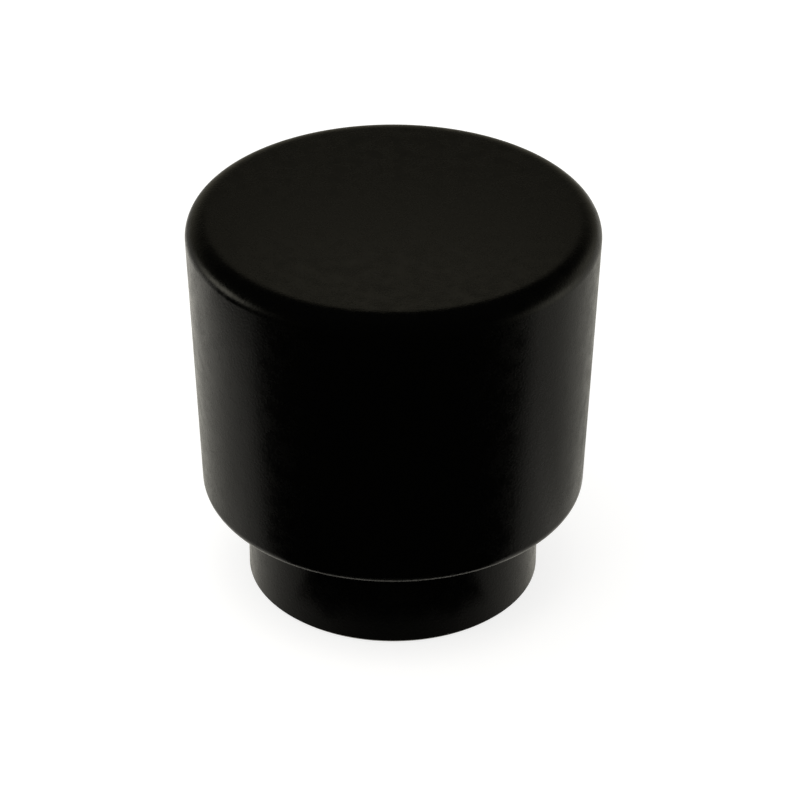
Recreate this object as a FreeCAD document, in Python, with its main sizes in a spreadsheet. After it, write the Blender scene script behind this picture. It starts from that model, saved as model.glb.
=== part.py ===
import FreeCAD, Part
import Sketcher
import math
import os

# A round cabinet knob, turned in one piece: a head that narrows towards the door, a smaller foot
# that holds the head off the door, and a tapped blind hole in the foot for the fixing screw.
# Lengths are in millimetres and angles in degrees. The foot's flat rear face lies on the XY plane
# with its centre at the origin, and +Z runs along the knob's axis, away from the door.

SIZES = (
    ("head_diameter", 30.0, "across the head at its widest, just under the rounded top edge"),
    ("head_height", 22.6, "from the underside of the head to the flat top"),
    ("side_taper", 2.1, "lean of the head's side, inwards towards the door"),
    ("top_edge_radius", 1.4, "round between the flat top and the side"),
    ("rim_edge_radius", 1.0, "round on the head's lower edge, where the fingertips pull"),
    ("finger_undercut", 3.3, "how far the head overhangs the foot, all the way round"),
    ("foot_height", 7.4, "from the door to the underside of the head"),
    ("foot_edge_chamfer", 0.2, "broken edge of the rear face"),
    ("screw_diameter", 4.0, "outside diameter of the metric screw that holds the knob"),
    ("screw_pitch", 0.7, "pitch of that screw, left by the tapping drill for the thread"),
    ("bore_depth", 15.0, "from the rear face to the end of the full bore"),
    ("drill_point_angle", 118.0, "full angle of the cone that the drill leaves behind the bore"),
    ("mouth_clearance", 0.4, "how much wider than the screw the countersunk mouth is"),
    ("mouth_angle", 90.0, "full angle of the countersink"),
)

# The points of a sketched line or circle, and the sketch's own origin.
START = 1
END = 2
CENTRE = 3
ORIGIN = -1


def make_sheet(doc):
    """The driving dimensions: the name, the value and what it measures."""
    sheet = doc.addObject("Spreadsheet::Sheet", "Sizes")
    for row, (alias, value, meaning) in enumerate(SIZES, start=1):
        sheet.set(f"A{row}", alias)
        sheet.set(f"B{row}", str(value))
        sheet.set(f"C{row}", meaning)
        sheet.setAlias(f"B{row}", alias)
    doc.recompute()
    return sheet


def new_sketch(body, name, role):
    """A sketch on the body's own reference plane of this role."""
    sketch = body.newObject("Sketcher::SketchObject", name)
    plane = next(feature for feature in body.Origin.OriginFeatures if feature.Role == role)
    sketch.AttachmentSupport = (plane, [""])
    sketch.MapMode = "FlatFace"
    return sketch


def dimension(sketch, name, kind, between, first_value, expression):
    """A named dimension of the sketch. It starts near its value, and then follows the sheet."""
    index = sketch.addConstraint(Sketcher.Constraint(kind, *between, first_value))
    sketch.renameConstraint(index, name)
    sketch.setExpression(f"Constraints.{name}", expression)


def draw_half_section(body, sheet):
    """Half of the knob's section with sharp corners, and one straight edge along the axis."""
    sketch = new_sketch(body, "HalfSection", "XZ_Plane")

    # The corners start near their places, and the dimensions below pull them in.
    head_radius = sheet.head_diameter / 2
    foot_radius = head_radius - sheet.finger_undercut
    top = sheet.foot_height + sheet.head_height
    corners = [
        FreeCAD.Vector(0, 0, 0),
        FreeCAD.Vector(foot_radius, 0, 0),
        FreeCAD.Vector(foot_radius, sheet.foot_height, 0),
        FreeCAD.Vector(head_radius, sheet.foot_height, 0),
        FreeCAD.Vector(head_radius, top, 0),
        FreeCAD.Vector(0, top, 0),
    ]
    outline = [Part.LineSegment(a, b) for a, b in zip(corners, corners[1:] + corners[:1])]
    lines = sketch.addGeometry(outline, False)
    rear_face, foot_side, underside, head_side, flat_top, axis = lines

    for line, following in zip(lines, lines[1:] + lines[:1]):
        sketch.addConstraint(Sketcher.Constraint("Coincident", line, END, following, START))
    sketch.addConstraint(Sketcher.Constraint("Coincident", rear_face, START, ORIGIN, START))
    for line in (rear_face, underside, flat_top):
        sketch.addConstraint(Sketcher.Constraint("Horizontal", line))
    for line in (foot_side, axis):
        sketch.addConstraint(Sketcher.Constraint("Vertical", line))

    # The foot's rise, the head's rise, the overhang and the lean of the side.
    rise = (foot_side, START, foot_side, END)
    dimension(sketch, "FootHeight", "DistanceY", rise, sheet.foot_height, "Sizes.foot_height")
    rise = (head_side, START, head_side, END)
    dimension(sketch, "HeadHeight", "DistanceY", rise, sheet.head_height, "Sizes.head_height")
    overhang = (underside, START, underside, END)
    undercut = sheet.finger_undercut
    dimension(sketch, "FingerUndercut", "DistanceX", overhang, undercut, "Sizes.finger_undercut")
    lean = math.radians(90 - sheet.side_taper)
    dimension(sketch, "SideLean", "Angle", (head_side,), lean, "(90 - Sizes.side_taper) * 1 deg")

    # The rounded edge takes this sharp corner away, and the head is widest just under it.
    # A square corner would stand at the widest radius, and the lean puts it a little further out.
    sharp_corner = (
        "Sizes.head_diameter / 2 + Sizes.top_edge_radius"
        " * (tan(Sizes.side_taper * 1 deg) + 1 / cos(Sizes.side_taper * 1 deg) - 1)"
    )
    across = (flat_top, END, flat_top, START)
    dimension(sketch, "TopCorner", "DistanceX", across, head_radius, sharp_corner)
    return sketch


def circles_at(feature, height):
    """Names of the feature's level circular edges at this height, the smallest first."""
    found = []
    for number, edge in enumerate(feature.Shape.Edges, start=1):
        if isinstance(edge.Curve, Part.Circle):
            centre = FreeCAD.Vector(0, 0, height)
            if edge.Curve.Center.isEqual(centre, Part.Precision.confusion()):
                found.append((edge.Curve.Radius, f"Edge{number}"))
    return [name for _, name in sorted(found)]


def dress_edge(body, kind, name, edge, property_name, size):
    """A round or a chamfer along one edge of the body as it stands, with its size from the sheet."""
    so_far = body.Tip
    feature = body.newObject(kind, name)
    feature.Base = (so_far, [edge])
    feature.setExpression(property_name, f"Sizes.{size}")
    body.Document.recompute()


def turn_outside(body, sheet):
    """The half section turned once round the axis, and then the three edges that are broken."""
    section = draw_half_section(body, sheet)
    turned = body.newObject("PartDesign::Revolution", "Turned")
    turned.Profile = section
    turned.ReferenceAxis = (section, ["V_Axis"])
    turned.Angle = 360
    body.Document.recompute()

    flat_top = sheet.foot_height + sheet.head_height
    top_edge = circles_at(body.Tip, flat_top)[-1]
    dress_edge(body, "PartDesign::Fillet", "TopEdge", top_edge, "Radius", "top_edge_radius")
    rim_edge = circles_at(body.Tip, sheet.foot_height)[-1]
    dress_edge(body, "PartDesign::Fillet", "RimEdge", rim_edge, "Radius", "rim_edge_radius")
    foot_edge = circles_at(body.Tip, 0)[-1]
    dress_edge(body, "PartDesign::Chamfer", "FootEdge", foot_edge, "Size", "foot_edge_chamfer")


def drill_screw_hole(body, sheet):
    """The blind hole for the screw: tapping size, with a drill point and a countersunk mouth."""
    sketch = new_sketch(body, "ScrewOutline", "XY_Plane")
    screw = Part.Circle(FreeCAD.Vector(0, 0, 0), FreeCAD.Vector(0, 0, 1), sheet.screw_diameter / 2)
    circle = sketch.addGeometry(screw, False)
    sketch.addConstraint(Sketcher.Constraint("Coincident", circle, CENTRE, ORIGIN, START))
    width = sheet.screw_diameter
    dimension(sketch, "ScrewDiameter", "Diameter", (circle,), width, "Sizes.screw_diameter")
    body.Document.recompute()

    solid_volume = body.Tip.Shape.Volume
    hole = body.newObject("PartDesign::Hole", "ScrewHole")
    hole.Profile = sketch
    body.Document.recompute()
    hole.Reversed = True
    hole.ThreadType = "None"
    hole.DepthType = "Dimension"
    hole.DrillPoint = "Angled"
    hole.DrillForDepth = False
    hole.HoleCutType = "Countersink"
    hole.setExpression("Diameter", "Sizes.screw_diameter - Sizes.screw_pitch")
    hole.setExpression("Depth", "Sizes.bore_depth")
    hole.setExpression("DrillPointAngle", "Sizes.drill_point_angle * 1 deg")
    hole.setExpression("HoleCutDiameter", "Sizes.screw_diameter + Sizes.mouth_clearance")
    hole.setExpression("HoleCutCountersinkAngle", "Sizes.mouth_angle * 1 deg")
    body.Document.recompute()
    if not hole.Shape.Volume < solid_volume:
        raise RuntimeError("the screw hole removed nothing")


def make_knob(doc, sheet):
    """The whole knob, one solid."""
    body = doc.addObject("PartDesign::Body", "Knob")
    body.Label = "knob"
    body.Placement = FreeCAD.Placement()
    turn_outside(body, sheet)
    drill_screw_hole(body, sheet)
    return body


def check(doc, parts):
    """Stops before anything is written if an object failed or a shape isn't sound."""
    for item in doc.Objects:
        if "Invalid" in item.State or "Error" in item.State:
            raise RuntimeError(f"{item.Name}: {item.State}")
    for part in parts:
        if part.Shape.isNull() or not part.Shape.isValid():
            raise RuntimeError(f"{part.Label}: the shape isn't valid")


doc = FreeCAD.newDocument("CabinetKnob")
sheet = make_sheet(doc)
parts = [make_knob(doc, sheet)]
doc.recompute()
check(doc, parts)
os.makedirs("parts", exist_ok=True)
for part in parts:
    part.Shape.exportStep(f"parts/{part.Label}.step")
    box = part.Shape.optimalBoundingBox()
    print(f"{part.Label}: {box.XLength:.2f} x {box.YLength:.2f} x {box.ZLength:.2f} mm")
    print(f"{part.Label}: {len(part.Shape.Solids)} solid of {part.Shape.Volume:.1f} cubic mm")
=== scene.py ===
import math

import bpy
import numpy as np
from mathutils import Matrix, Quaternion, Vector


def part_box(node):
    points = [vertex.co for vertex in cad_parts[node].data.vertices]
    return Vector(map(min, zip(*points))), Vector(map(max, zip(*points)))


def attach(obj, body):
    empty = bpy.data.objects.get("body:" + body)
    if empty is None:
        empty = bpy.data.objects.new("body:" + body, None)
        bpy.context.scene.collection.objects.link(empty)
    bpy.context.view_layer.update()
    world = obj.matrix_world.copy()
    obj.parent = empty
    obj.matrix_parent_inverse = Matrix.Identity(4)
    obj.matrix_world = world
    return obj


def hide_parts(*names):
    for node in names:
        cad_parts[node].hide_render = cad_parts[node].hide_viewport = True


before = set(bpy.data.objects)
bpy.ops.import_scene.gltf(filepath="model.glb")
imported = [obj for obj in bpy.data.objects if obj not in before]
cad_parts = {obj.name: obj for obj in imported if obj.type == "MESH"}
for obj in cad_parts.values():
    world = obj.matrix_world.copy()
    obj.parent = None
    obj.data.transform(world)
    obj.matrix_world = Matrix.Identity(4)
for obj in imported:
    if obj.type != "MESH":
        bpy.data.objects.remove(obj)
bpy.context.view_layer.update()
mm = 0.001  # the sizes below are in millimetres, and the scene is in metres
print("frame loaded:", sorted(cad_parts))


def linearColour(hexCode):
    # sRGB hex to linear: c / 12.92 for a dark channel c, otherwise ((c + 0.055) / 1.055) to the power 2.4
    c = np.array([int(hexCode[i:i + 2], 16) for i in (1, 3, 5)]) / 255
    linear = np.where(c <= 0.04045, c / 12.92, ((c + 0.055) / 1.055) ** 2.4)
    return (*linear.tolist(), 1.0)


def addNode(tree, kind, settings=None, links=None):
    # one node: settings go to its properties or unlinked sockets, links run from other nodes' outputs
    node = tree.nodes.new(kind)
    for key, value in (settings or {}).items():
        if isinstance(key, str) and hasattr(node, key):
            setattr(node, key, value)
        else:
            node.inputs[key].default_value = value
    for key, source in (links or {}).items():
        tree.links.new(source, node.inputs[key])
    return node


def emptyMaterial(name):
    # a new material with no nodes in it yet
    material = bpy.data.materials.new(name)
    material.use_nodes = True
    material.node_tree.nodes.clear()
    return material


def addObject(name, data):
    # an object at the origin, in the scene
    thing = bpy.data.objects.new(name, data)
    bpy.context.scene.collection.objects.link(thing)
    return thing


knobValues = {
    "sideLean": 2.1,  # degrees, inwards towards the door
    "topRound": 1.4,  # radius between the flat top and the side
    "runIn": 1.0,  # length over which the coated top curves into that radius
    "rimRound": 1.0,  # radius of the edge that the fingertips pull
    "undercut": 3.3,  # from the head's lower edge in to the foot
    "footHeight": 7.4,
    "footChamfer": 0.2,
    "screwDiameter": 4.0,  # M4 coarse
    "pitch": 0.7,
    "mouthDiameter": 4.4,  # countersunk at 45 degrees
    "boreDepth": 15.0,  # full bore, from the rear face
    "threadedDepth": 12.0,
    "runOut": 1.0,  # length over which the last threads fade into the bore
    "pointAngle": 118.0,  # full angle of the drill point
}

# how finely the knob is divided, and where its rows stand
knobRows = {
    "columns": 192,  # round the axis
    "flatTop": 12,
    "beforeEdge": 3,
    "topEdge": 40,
    "topEdgeSteps": 30,  # in each of its rows, for the running sum
    "side": 24,
    "rimEdge": 23,
    "underside": 5,
    "foot": 8,
    "rearFace": 5,
    "eachPitch": 14,
    "drillPoint": 7,
    "innerRing": 1.0,  # radius of the first ring round the top's centre
    "apart": 0.3,  # the last few rings of a face stand this far from its edge, or twice as far
    "tight": 0.03,  # rows this near a rounded edge keep the flat faces beside it flat
    "underHead": 0.5,  # the foot's first ring below the inner corner
    "rearRing": 8.0,  # radius of the rear face's first ring
    "corner": 32.0,  # degrees; the shading breaks at an edge sharper than this
}


def straightRows(start, end, count):
    # a straight run of the outline: start + (end - start) * t, with t from 0 to 1
    t = np.linspace(0.0, 1.0, count)[:, None]
    return np.array(start) + (np.array(end) - np.array(start)) * t


def roundRows(centre, radius, fromAngle, toAngle, count):
    # a rounded edge of the outline: centre + radius * (cos a, sin a), with a from one angle to the other
    a = np.radians(np.linspace(fromAngle, toAngle, count))[:, None]
    return np.array(centre) + radius * np.hstack([np.cos(a), np.sin(a)])


def topEdgeRows(values, rows, widest, height):
    # the round from the flat top to the side, by its tilt at a length s along it: s^2 / (2 runIn radius) in
    # the run-in and (s - runIn / 2) / radius after it; the outline is the running sum of (cos, -sin) of that
    radius = values["topRound"]
    runIn = values["runIn"]
    steps = rows["topEdgeSteps"]
    length = radius * math.radians(90 + values["sideLean"]) + runIn / 2
    s = np.linspace(0.0, length, rows["topEdge"] * steps + 1)
    tilt = np.where(s < runIn, s ** 2 / (2 * runIn * radius), (s - runIn / 2) / radius)
    middle = (tilt[1:] + tilt[:-1]) / 2
    outwards = np.append(0.0, np.cumsum(np.cos(middle))) * s[1]
    drop = np.append(0.0, np.cumsum(np.sin(middle))) * s[1]
    return np.stack([widest - outwards.max() + outwards, height - drop], axis=-1)[::steps]


def outsideOutline(values, rows, radius, height):
    # radius and height, row by row, from the top's centre round the outside to the edge of the rear face
    lean = math.radians(values["sideLean"])
    rim = values["rimRound"]
    foot = values["footHeight"]
    chamfer = values["footChamfer"]
    apart = rows["apart"]
    tight = rows["tight"]
    topEdge = topEdgeRows(values, rows, radius, height)
    flatRadius = topEdge[0, 0]

    def sideAt(z):
        # the side's radius at a height: that of the top edge's last row, less its depth below it * tan(lean)
        return topEdge[-1, 0] - (topEdge[-1, 1] - z) * math.tan(lean)

    rimCentre = (sideAt(foot + rim) - rim / math.cos(lean), foot + rim)
    footRadius = sideAt(foot) - values["undercut"]
    rimEdge = roundRows(rimCentre, rim, -values["sideLean"], -90, rows["rimEdge"])
    sideTop = topEdge[-1, 1] - tight
    sideFoot = rimEdge[0, 1] + tight
    return np.vstack([
        straightRows((rows["innerRing"], height), (flatRadius - 2 * apart, height), rows["flatTop"]),
        straightRows((flatRadius - apart, height), (flatRadius - tight, height), rows["beforeEdge"]),
        topEdge,
        straightRows((sideAt(sideTop), sideTop), (sideAt(sideFoot), sideFoot), rows["side"]),
        rimEdge,
        straightRows((rimCentre[0] - tight, foot), (footRadius, foot), rows["underside"]),
        straightRows((footRadius, foot - rows["underHead"]), (footRadius, chamfer), rows["foot"]),
        straightRows((footRadius - chamfer / 2, chamfer / 2), (footRadius - chamfer, 0.0), 2),
    ])


def turnedGrid(outline, columns):
    # every outline row carried once round the axis: (r cos a, r sin a, z)
    a = np.arange(columns) / columns * 2 * np.pi
    r = outline[:, :1] * np.ones(columns)
    z = outline[:, 1:] * np.ones(columns)
    return np.stack([r * np.cos(a), r * np.sin(a), z], axis=-1)


def threadedBore(values, rows, boreRadius):
    # the hole's wall: the larger of the countersink, mouthRadius - z, and the thread, which is the bore
    # plus a V of 60 degrees along the helix z / pitch - a / turn, cut off at the screw's own radius
    columns = rows["columns"]
    screwRadius = values["screwDiameter"] / 2
    step = values["pitch"] / rows["eachPitch"]
    z = np.arange(0.0, values["boreDepth"] + step / 2, step)[:, None]
    a = (np.arange(columns) / columns * 2 * np.pi)[None, :]
    along = np.abs((z / values["pitch"] - a / (2 * np.pi)) % 1.0 - 0.5)  # 0 in a groove, 0.5 on a crest
    sharpDepth = values["pitch"] * math.sqrt(3) / 2
    groove = screwRadius + sharpDepth / 8 - 2 * sharpDepth * along
    fade = np.clip((values["threadedDepth"] - z) / values["runOut"] + 1.0, 0.0, 1.0)
    depth = (np.clip(groove, boreRadius, screwRadius) - boreRadius) * fade
    r = np.maximum(boreRadius + depth, values["mouthDiameter"] / 2 - z)
    return np.stack([r * np.cos(a), r * np.sin(a), z + 0 * a], axis=-1)


def closedSkin(name, grid, firstPole, lastPole, corner):
    # quads between neighbouring rows and columns, and a fan of triangles round each pole
    rows, columns = grid.shape[:2]
    index = np.arange(rows * columns).reshape(rows, columns)
    across = np.roll(index, -1, axis=1)
    quads = np.stack([index[:-1], index[1:], across[1:], across[:-1]], axis=-1).reshape(-1, 4)
    first = rows * columns
    last = first + 1
    firstFan = np.stack([np.full(columns, first), index[0], across[0]], axis=-1)
    lastFan = np.stack([index[-1], np.full(columns, last), across[-1]], axis=-1)
    points = np.vstack([grid.reshape(-1, 3), [firstPole], [lastPole]]) * mm
    mesh = bpy.data.meshes.new(name)
    mesh.from_pydata(points.tolist(), [], quads.tolist() + firstFan.tolist() + lastFan.tolist())
    mesh.update()
    mesh.validate()
    mesh.shade_smooth()
    mesh.set_sharp_from_angle(angle=math.radians(corner))
    return addObject(name, mesh)


def turnKnob(values, rows):
    # the outside, the rear face and the hole as one closed skin from the top's centre to the drill point,
    # whose depth behind the full bore is boreRadius / tan(pointAngle / 2)
    low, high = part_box("knob")
    radius = (high.x - low.x) / 2 / mm
    height = (high.z - low.z) / mm
    columns = rows["columns"]
    outline = outsideOutline(values, rows, radius, height)
    mouthRing = values["mouthDiameter"] / 2 + rows["apart"]
    rearFace = straightRows((rows["rearRing"], 0.0), (mouthRing, 0.0), rows["rearFace"])
    boreRadius = (values["screwDiameter"] - values["pitch"]) / 2
    depth = values["boreDepth"]
    pointDepth = boreRadius / math.tan(math.radians(values["pointAngle"] / 2))
    coneRows = straightRows((boreRadius, depth), (0.0, depth + pointDepth), rows["drillPoint"])[1:-1]
    grid = np.concatenate([
        turnedGrid(np.vstack([outline, rearFace]), columns),
        threadedBore(values, rows, boreRadius),
        turnedGrid(coneRows, columns),
    ])
    return closedSkin("turnedKnob", grid, (0, 0, height), (0, 0, depth + pointDepth), rows["corner"])


coatValues = {
    "colour": "#020202",  # matt black
    "flecks": "#040403",
    "ior": 1.2,  # matched to the object: polyester's own is about 1.5, and this matt skin mirrors less
    "headOnTint": "#000000",  # what it mirrors where it faces the eye: nothing, as on the photographed knob
    "roughness": (0.188, 0.322),  # in the hollows of grain and waves together, and on their tops
    "relief": (0.7, 1.3),  # grain and waves added up, in those hollows and on those tops
    "grain": 0.2,  # width of the fine grain, a little coarser than the powder's own, so that it shows
    "grainDetail": 2.0,
    "grainHeight": 0.011,
    "peel": 1.2,  # width of the faint waves under it
    "peelDetail": 1.0,
    "peelHeight": 0.006,
}


def powderCoat(values):
    # polyester powder, sprayed on and baked: a thin even plastic skin, matt, with a very fine grain, that
    # stays black where it faces the eye and mirrors what is bright at a glancing angle
    material = emptyMaterial("blackPowderCoatBaked")
    tree = material.node_tree
    place = addNode(tree, "ShaderNodeTexCoord").outputs["Object"]
    grain = addNode(tree, "ShaderNodeTexNoise", {
        "Scale": 1 / (values["grain"] * mm), "Detail": values["grainDetail"],
    }, {"Vector": place})
    peel = addNode(tree, "ShaderNodeTexNoise", {
        "Scale": 1 / (values["peel"] * mm), "Detail": values["peelDetail"],
    }, {"Vector": place})
    colour = addNode(tree, "ShaderNodeMix", {
        "data_type": "RGBA", 6: linearColour(values["colour"]), 7: linearColour(values["flecks"]),
    }, {0: grain.outputs["Fac"]})
    relief = addNode(tree, "ShaderNodeMath", {"operation": "ADD"}, {
        0: grain.outputs["Fac"], 1: peel.outputs["Fac"],
    })
    roughness = addNode(tree, "ShaderNodeMapRange", {
        "From Min": values["relief"][0], "From Max": values["relief"][1],
        "To Min": values["roughness"][0], "To Max": values["roughness"][1],
    }, {"Value": relief.outputs[0]})
    waves = addNode(tree, "ShaderNodeBump", {
        "Distance": values["peelHeight"] * mm,
    }, {"Height": peel.outputs["Fac"]})
    bump = addNode(tree, "ShaderNodeBump", {"Distance": values["grainHeight"] * mm}, {
        "Height": grain.outputs["Fac"], "Normal": waves.outputs["Normal"],
    })
    skin = addNode(tree, "ShaderNodeBsdfPrincipled", {
        "IOR": values["ior"], "Specular Tint": linearColour(values["headOnTint"]),
    }, {
        "Base Color": colour.outputs[2], "Roughness": roughness.outputs["Result"],
        "Normal": bump.outputs["Normal"],
    })
    addNode(tree, "ShaderNodeOutputMaterial", links={"Surface": skin.outputs["BSDF"]})
    return material


cameraValues = {
    "elevation": 32.3993,  # degrees above the horizon
    "distance": 250.901,
    "middle": (0.0, 0.0, 14.25),  # the point that the distance and the elevation are taken from
    "aim": (0.5067, 0.022, 14.265),  # the point in the middle of the picture
    "roll": 0.1958,  # degrees
    "lens": 152.187,
    "sensor": 36.0,
    "clip": (0.01, 20.0),  # metres
}


def placeCamera(values):
    # stands at middle + distance * (0, -cos e, sin e), looks at the aim and is turned by the roll
    e = math.radians(values["elevation"])
    stand = Vector(values["middle"]) + values["distance"] * Vector((0, -math.cos(e), math.sin(e)))
    look = Vector(values["aim"]) - stand
    roll = Quaternion((0, 0, 1), math.radians(values["roll"]))
    data = bpy.data.cameras.new("camera")
    data.lens = values["lens"]
    data.sensor_width = values["sensor"]
    data.clip_start, data.clip_end = values["clip"]
    camera = addObject("camera", data)
    camera.location = stand * mm
    camera.rotation_mode = "QUATERNION"
    camera.rotation_quaternion = look.to_track_quat("-Z", "Y") @ roll
    bpy.context.scene.camera = camera


def gridMesh(name, points):
    # quads between neighbouring rows and columns of an open grid of points in millimetres
    rows, columns = points.shape[:2]
    index = np.arange(rows * columns).reshape(rows, columns)
    quads = np.stack([index[:-1, :-1], index[:-1, 1:], index[1:, 1:], index[1:, :-1]], axis=-1)
    mesh = bpy.data.meshes.new(name)
    mesh.from_pydata((points.reshape(-1, 3) * mm).tolist(), [], quads.reshape(-1, 4).tolist())
    return mesh


def shownRays(tree):
    # two outputs: 1 for a camera ray, and 1 for a camera, glossy or transmission ray
    path = addNode(tree, "ShaderNodeLightPath")
    some = addNode(tree, "ShaderNodeMath", {"operation": "MAXIMUM"}, {
        0: path.outputs["Is Camera Ray"], 1: path.outputs["Is Glossy Ray"],
    })
    every = addNode(tree, "ShaderNodeMath", {"operation": "MAXIMUM"}, {
        0: some.outputs[0], 1: path.outputs["Is Transmission Ray"],
    })
    return path.outputs["Is Camera Ray"], every.outputs[0]


floorValues = {
    "width": 6000.0,
    "drop": 0.02,  # just under the rear face
    "colour": "#adaca8",
    "glow": 0.76,
    "glowColour": "#f3efe2",  # a trace warm where the coating mirrors it
}


def layFloor(values):
    # a plain white sheet: a part of its white is its own, and the rest takes light and the knob's shadow
    half = values["width"] / 2
    z = -values["drop"]
    corners = np.array([[(-half, -half, z), (half, -half, z)], [(-half, half, z), (half, half, z)]])
    mesh = gridMesh("floor", corners)
    floor = addObject("floor", mesh)
    material = emptyMaterial("whitePaperSweep")
    tree = material.node_tree
    paper = addNode(tree, "ShaderNodeBsdfDiffuse", {"Color": linearColour(values["colour"])})
    seen, shown = shownRays(tree)
    level = addNode(tree, "ShaderNodeMath", {"operation": "MULTIPLY", 1: values["glow"]}, {0: shown})
    colour = addNode(tree, "ShaderNodeMix", {
        "data_type": "RGBA", 6: linearColour(values["glowColour"]), 7: (1, 1, 1, 1),
    }, {0: seen})
    glow = addNode(tree, "ShaderNodeEmission", links={
        "Color": colour.outputs[2], "Strength": level.outputs[0],
    })
    both = addNode(tree, "ShaderNodeAddShader", links={0: paper.outputs[0], 1: glow.outputs[0]})
    under = addNode(tree, "ShaderNodeBsdfTransparent")  # from below, the sheet doesn't hide the rear face
    side = addNode(tree, "ShaderNodeNewGeometry").outputs["Backfacing"]
    sheet = addNode(tree, "ShaderNodeMixShader", links={0: side, 1: both.outputs[0], 2: under.outputs[0]})
    addNode(tree, "ShaderNodeOutputMaterial", links={"Surface": sheet.outputs[0]})
    mesh.materials.append(material)


# What the coating mirrors besides the floor. Azimuth 0 is the camera's side, angles are in degrees,
# and a level of 1 is white. Each sheet's divisions are its rows and columns.
drumMiddle = 28.0  # height that the elevations of the roof and the glows are taken from

roofValues = {
    "elevations": (0.0, 89.0), "azimuths": (0.0, 360.0), "divisions": (9, 49), "distance": 1500.0,
    "level": 0.01, "colour": "#fffae2",
}

glowDivisions = (33, 33)
glowEnd = 2.4  # spreads from a glow's middle to its edge

glowValues = {
    "leftStrip": {
        "towards": (-87.0, 0.5), "spread": (17.0, 7.8), "edge": 4.0, "distance": 95.0,
        "level": 9.5, "colour": "#fffbe8",
    },
    "rightStrip": {
        "towards": (78.5, -6.0), "spread": (19.0, 13.0), "edge": 2.0, "distance": 60.0,
        "level": 4.0, "colour": "#fffbe5",
    },
    "rightGlow": {
        "towards": (117.0, 10.0), "spread": (17.0, 13.0), "edge": 2.0, "distance": 250.0,
        "level": 1.4, "colour": "#fffae2",
    },
    "backGlow": {
        "towards": (185.0, 6.0), "spread": (55.0, 18.0), "edge": 2.0, "distance": 400.0,
        "level": 0.5, "colour": "#fff8dc",
    },
}

cardValues = {
    "distance": 70.0,
    "across": (-30.0, 31.0),
    "rise": (68.0, 95.0),
    "soft": (22.0, 8.0),  # width of its faded edges, at the sides and at the ends
    "divisions": (25, 33),
    "level": 0.86,
    "colour": "#fff7db",
}

fanDivisions = (41, 61)
fanColour = "#fffcf0"  # of every fan, where its level isn't 0

# soft is the width of the faded edges: at the sides in degrees, and at the near and the far end
fanValues = {
    "blackApron": {
        "apex": -10.3, "azimuths": (-90.0, 86.5), "reach": (5.0, 1000.0), "soft": (8.0, 3.0, 9.0),
        "lift": 0.2, "level": 0.0,
    },
    "footApron": {
        "apex": 0.0, "azimuths": (-53.0, 51.0), "reach": (12.3, 18.0), "soft": (6.0, 2.4, 2.5),
        "lift": 0.18, "level": 0.0,
    },
    "darkCorner": {
        "apex": 0.0, "azimuths": (-110.0, -64.0), "reach": (50.0, 130.0), "soft": (12.0, 8.0, 12.0),
        "lift": 0.15, "level": 0.0,
    },
    # painted shade: a dim sheet on the floor to the right, so that the coating mirrors that paper as less
    # lit
    "shadedRightPaper": {
        "apex": 0.0, "azimuths": (80.0, 170.0), "reach": (20.0, 400.0), "soft": (8.0, 6.0, 9.0),
        "lift": 0.1, "level": 0.75,
    },
    "farShade": {
        "apex": 0.0, "azimuths": (100.0, 260.0), "reach": (60.0, 2000.0), "soft": (14.0, 60.0, 9.0),
        "lift": 0.05, "level": 0.42,
    },
    "leftShade": {
        "apex": 0.0, "azimuths": (185.0, 282.0), "reach": (13.0, 46.0), "soft": (10.0, 4.0, 22.0),
        "lift": 0.14, "level": 0.83,
    },
    "rightShade": {
        "apex": 0.0, "azimuths": (80.0, 190.0), "reach": (18.0, 46.0), "soft": (10.0, 6.0, 14.0),
        "lift": 0.12, "level": 0.62,
    },
}


def evenGrid(rowEnds, columnEnds, divisions):
    # two parameters in even steps, the first along the rows and the second along the columns
    rows = np.linspace(*rowEnds, divisions[0])
    columns = np.linspace(*columnEnds, divisions[1])
    return np.meshgrid(rows, columns, indexing="ij")


def softStep(t):
    # rises smoothly from 0 at t = 0 to 1 at t = 1: t * t * (3 - 2 t)
    t = np.clip(t, 0.0, 1.0)
    return t * t * (3 - 2 * t)


def softEnds(x, ends, first, last):
    # 1 between the ends, falling to 0 at each: softStep of the distance from it over its soft width
    return softStep((x - ends[0]) / first) * softStep((ends[1] - x) / last)


def drumGrid(azimuths, elevations, distance):
    # part of a drum round the knob's head: (d sin a, -d cos a, drumMiddle + d tan b)
    a = np.radians(azimuths)
    b = np.radians(elevations)
    z = drumMiddle + distance * np.tan(b)
    return np.stack([distance * np.sin(a), -distance * np.cos(a), z], axis=-1)


def roofGrid(values):
    # a dark drum all round and overhead, as strong everywhere
    b, a = evenGrid(values["elevations"], values["azimuths"], values["divisions"])
    return drumGrid(a, b, values["distance"]), np.ones(a.shape)


def glowGrid(values):
    # fades from its middle by exp(-((a - a0) / s)^2 - |(b - b0) / t|^edge), with s and t the spread
    a0, b0 = values["towards"]
    s, t = values["spread"]
    b, a = evenGrid((-glowEnd, glowEnd), (-glowEnd, glowEnd), glowDivisions)
    fade = np.exp(-a ** 2 - np.abs(b) ** values["edge"])
    return drumGrid(a0 + s * a, b0 + t * b, values["distance"]), fade


def cardGrid(values):
    # upright behind the knob and above it: (x, distance, z), and softEnds fades all four edges
    z, x = evenGrid(values["rise"], values["across"], values["divisions"])
    sideSoft, endSoft = values["soft"]
    sides = softEnds(x, values["across"], sideSoft, sideSoft)
    ends = softEnds(z, values["rise"], endSoft, endSoft)
    return np.stack([x, values["distance"] + 0 * x, z], axis=-1), sides * ends


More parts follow.
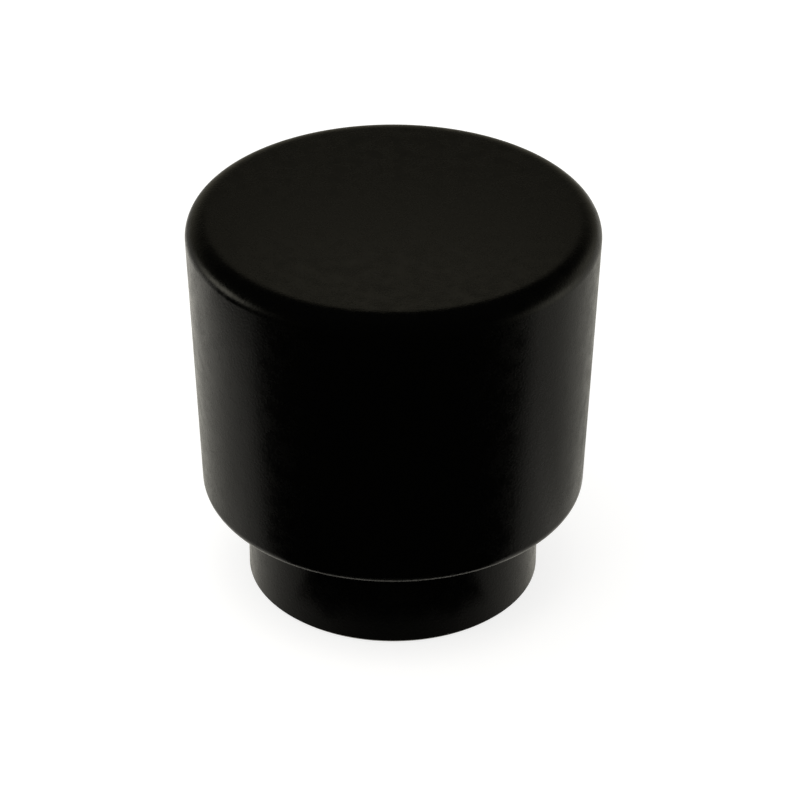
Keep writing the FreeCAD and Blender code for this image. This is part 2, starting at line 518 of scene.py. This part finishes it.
def floorFanGrid(values):
    # flat on the floor, spread from its apex: (r sin a, apex - r cos a, lift), with r in equal ratios; its
    # fade is softEnds of the azimuth times softEnds of the reach
    near, far = values["reach"]
    start, end = values["azimuths"]
    sideSoft, nearSoft, farSoft = values["soft"]
    radii = np.geomspace(near, far, fanDivisions[0])
    r, a = np.meshgrid(radii, np.linspace(start, end, fanDivisions[1]), indexing="ij")
    fade = softEnds(a, (start, end), sideSoft, sideSoft) * softEnds(r, (near, far), nearSoft, farSoft)
    turn = np.radians(a)
    points = [r * np.sin(turn), values["apex"] - r * np.cos(turn), values["lift"] + 0 * r]
    return np.stack(points, axis=-1), fade


def hangSheet(name, grid, level, colour):
    # a cloth that glows by its level, clear where it fades out; only the coating mirrors it
    points, fade = grid
    mesh = gridMesh(name, points)
    mesh.attributes.new("fade", "FLOAT", "POINT").data.foreach_set("value", fade.ravel())
    material = emptyMaterial(name)
    tree = material.node_tree
    cloth = addNode(tree, "ShaderNodeEmission", {"Color": linearColour(colour), "Strength": level})
    clear = addNode(tree, "ShaderNodeBsdfTransparent")
    faded = addNode(tree, "ShaderNodeAttribute", {"attribute_name": "fade"})
    both = addNode(tree, "ShaderNodeMixShader", links={
        0: faded.outputs["Fac"], 1: clear.outputs[0], 2: cloth.outputs[0],
    })
    addNode(tree, "ShaderNodeOutputMaterial", links={"Surface": both.outputs[0]})
    mesh.materials.append(material)
    sheet = addObject(name, mesh)
    sheet.visible_camera = False
    sheet.visible_diffuse = False
    sheet.visible_shadow = False
    sheet.visible_transmission = False


def hangSheets():
    # the roof and the aprons keep the front dark, the strips and glows light the edges, the card lights the
    # flat top, and the grey sheets are painted shade on the floor that the sides mirror
    hangSheet("darkRoof", roofGrid(roofValues), roofValues["level"], roofValues["colour"])
    for name, glow in glowValues.items():
        hangSheet(name, glowGrid(glow), glow["level"], glow["colour"])
    hangSheet("topCard", cardGrid(cardValues), cardValues["level"], cardValues["colour"])
    for name, fan in fanValues.items():
        hangSheet(name, floorFanGrid(fan), fan["level"], fanColour)


lightValues = {
    "world": 0.65,
    "lampPlace": (-120.0, -60.0, 520.0),
    "lampAim": (0.0, 0.0, 15.0),
    "lampSize": 420.0,
    "lampWatts": 0.9,
}


def lightWorld(values):
    # white where it is seen or mirrored, and plain soft light everywhere else
    world = bpy.data.worlds.new("studio")
    world.use_nodes = True
    tree = world.node_tree
    tree.nodes.clear()
    shown = shownRays(tree)[1]
    level = addNode(tree, "ShaderNodeMapRange", {"To Min": values["world"], "To Max": 1.0}, {"Value": shown})
    light = addNode(tree, "ShaderNodeBackground", {"Color": (1, 1, 1, 1)}, {"Strength": level.outputs[0]})
    addNode(tree, "ShaderNodeOutputWorld", links={"Surface": light.outputs[0]})
    bpy.context.scene.world = world


def hangLamp(values):
    # a square soft lamp above the set, pointed at the knob
    data = bpy.data.lights.new("overhead", "AREA")
    data.shape = "SQUARE"
    data.size = values["lampSize"] * mm
    data.energy = values["lampWatts"]
    lamp = addObject("overhead", data)
    place = Vector(values["lampPlace"])
    lamp.location = place * mm
    lamp.rotation_mode = "QUATERNION"
    lamp.rotation_quaternion = (Vector(values["lampAim"]) - place).to_track_quat("-Z", "Y")
    lamp.visible_camera = False
    lamp.visible_glossy = False


knob = turnKnob(knobValues, knobRows)
knob.data.materials.append(powderCoat(coatValues))
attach(knob, "root")
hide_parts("knob")
print("knob turned and coated:", len(knob.data.polygons), "faces")

placeCamera(cameraValues)
layFloor(floorValues)
hangSheets()
lightWorld(lightValues)
hangLamp(lightValues)
bpy.context.scene.view_settings.view_transform = "Standard"
print("stage lit")
